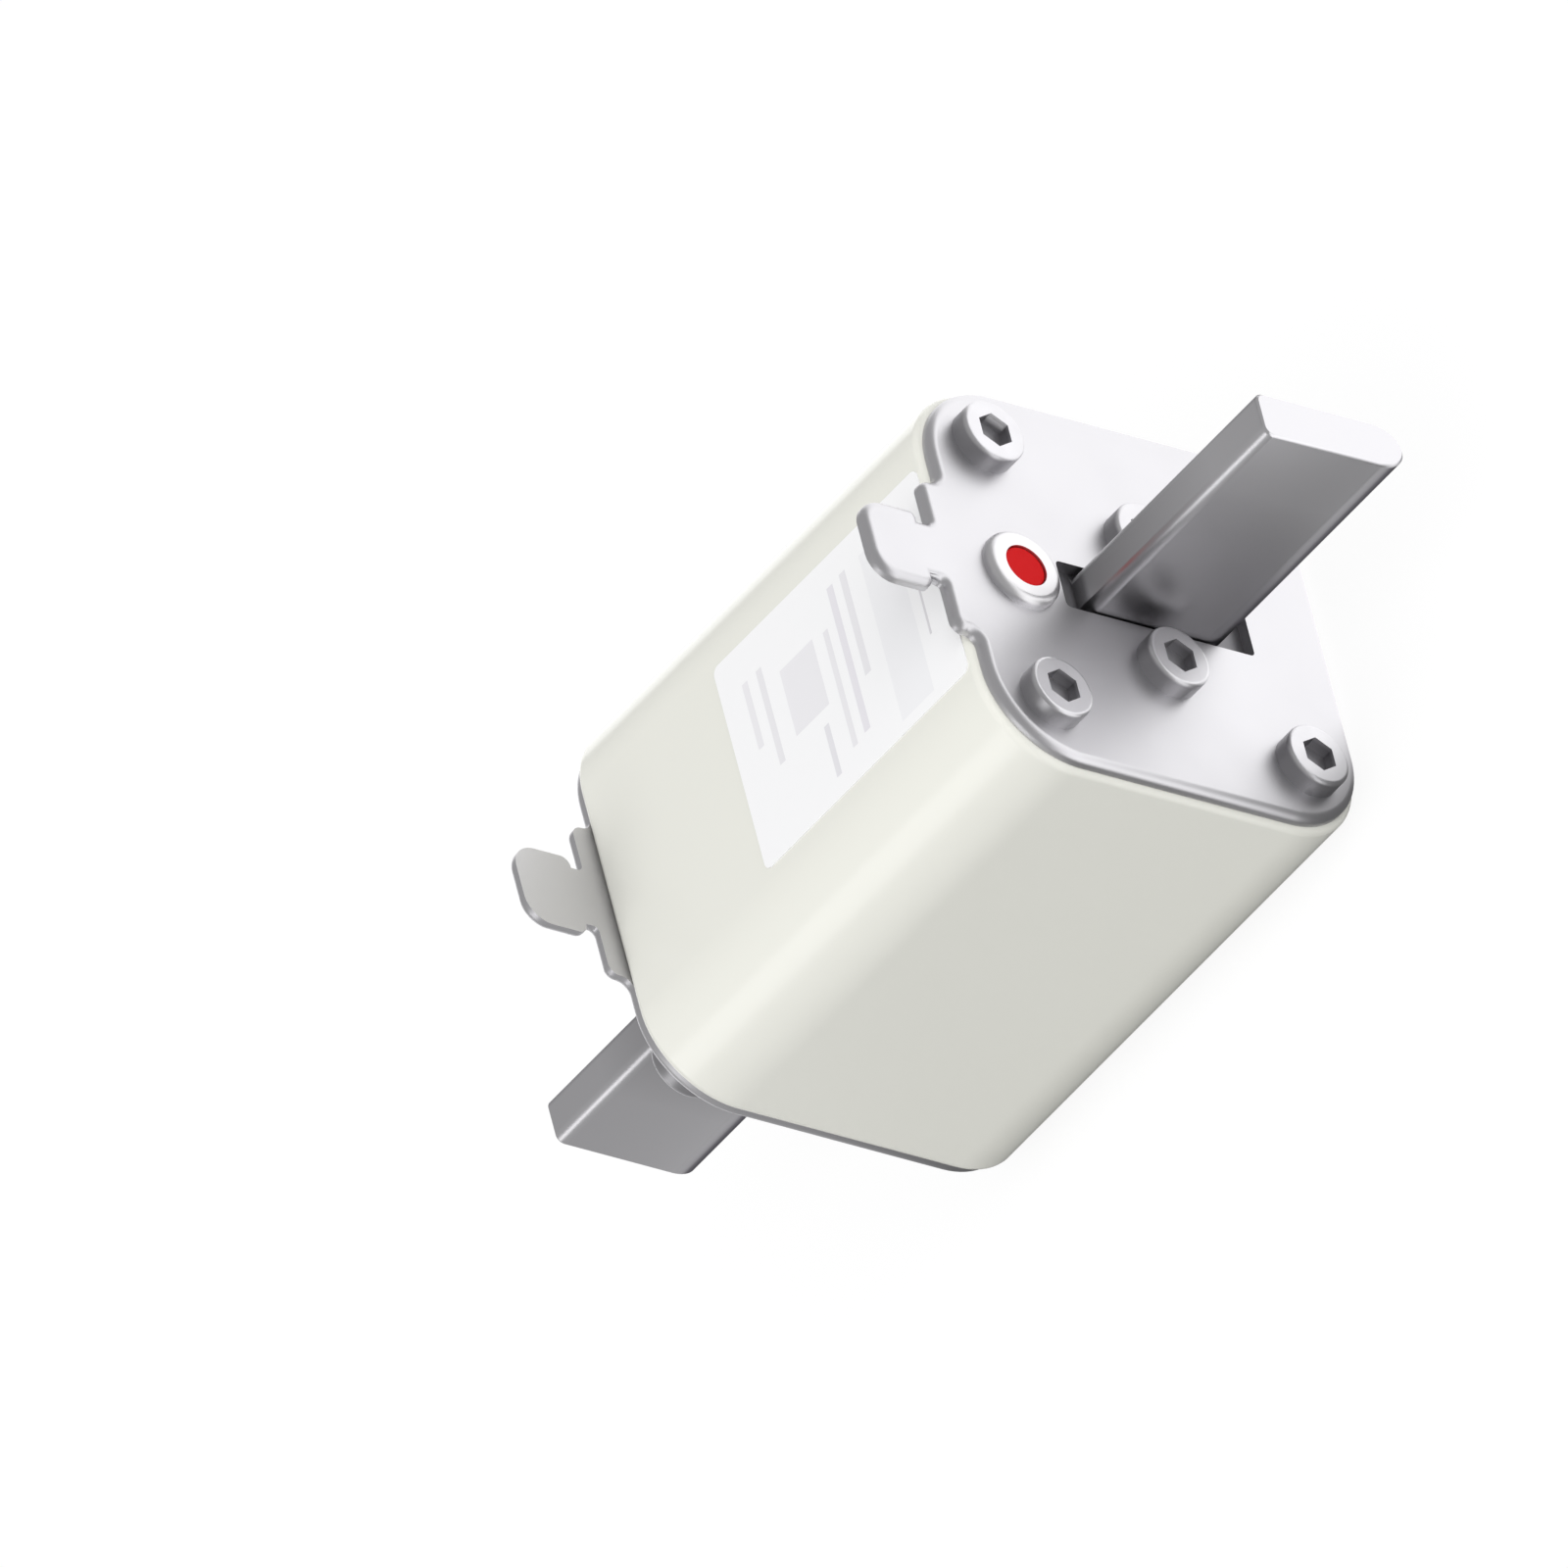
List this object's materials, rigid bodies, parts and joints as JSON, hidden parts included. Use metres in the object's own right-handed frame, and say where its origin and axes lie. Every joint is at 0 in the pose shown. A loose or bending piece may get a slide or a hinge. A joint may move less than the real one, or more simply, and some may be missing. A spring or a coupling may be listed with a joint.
{
  "type": "square body fuse",
  "caption": "Square ceramic fuse with knife blade contacts on both ends, screwed metal end plates with gripping lugs, and a spring loaded indicator pin.",
  "frame": {"origin": "under the middle of the back face that the fuse rests on, halfway between the blade tips", "axes": "+X along the fuse towards the end with the indicator, +Z from the back face to the labelled face, where the gripping lugs stand, +Y across"},
  "size_m": [0.135, 0.0522, 0.0644],
  "materials": {
    "steatite": "fine matt fired ceramic, off-white",
    "plated_plate": "bright satin plated sheet",
    "gasket_fibre": "matt grey fibre sheet",
    "plated_copper": "silver plated copper, drawn finish",
    "screw_steel": "zinc plated steel",
    "strip_silver": "fine silver strip",
    "sand": "packed quartz sand",
    "bush_metal": "nickel plated",
    "indicator_red": "red plastic",
    "spring_steel": "spring wire",
    "plug_metal": "pressed plug",
    "label_film": "white label with pale grey fields"
  },
  "bodies": {
    "fuse": {"ceramic_body": "steatite", "indicator_end_plate": "plated_plate", "plain_end_plate": "plated_plate", "indicator_end_gasket": "gasket_fibre", "plain_end_gasket": "gasket_fibre", "indicator_end_blade": "plated_copper", "plain_end_blade": "plated_copper", "indicator_end_corner_screws": "screw_steel", "plain_end_corner_screws": "screw_steel", "indicator_end_blade_screws": "screw_steel", "plain_end_blade_screws": "screw_steel", "fuse_strip_1": "strip_silver", "fuse_strip_2": "strip_silver", "fuse_strip_3": "strip_silver", "fuse_strip_4": "strip_silver", "fuse_strip_5": "strip_silver", "fuse_strip_6": "strip_silver", "quartz_sand": "sand", "indicator_bush": "bush_metal", "indicator_spring": "spring_steel", "indicator_wire": "spring_steel", "wire_anchor": "bush_metal", "sand_fill_plug": "plug_metal", "label": "label_film"},
    "indicator": {"indicator_pin": "indicator_red"}
  },
  "joints": [
    {"name": "indicator_slide", "type": "slide", "parent": "fuse", "child": "indicator", "axis": [1, 0, 0], "range_m": [0, 0.003], "deforming": ["indicator_spring"]}
  ]
}
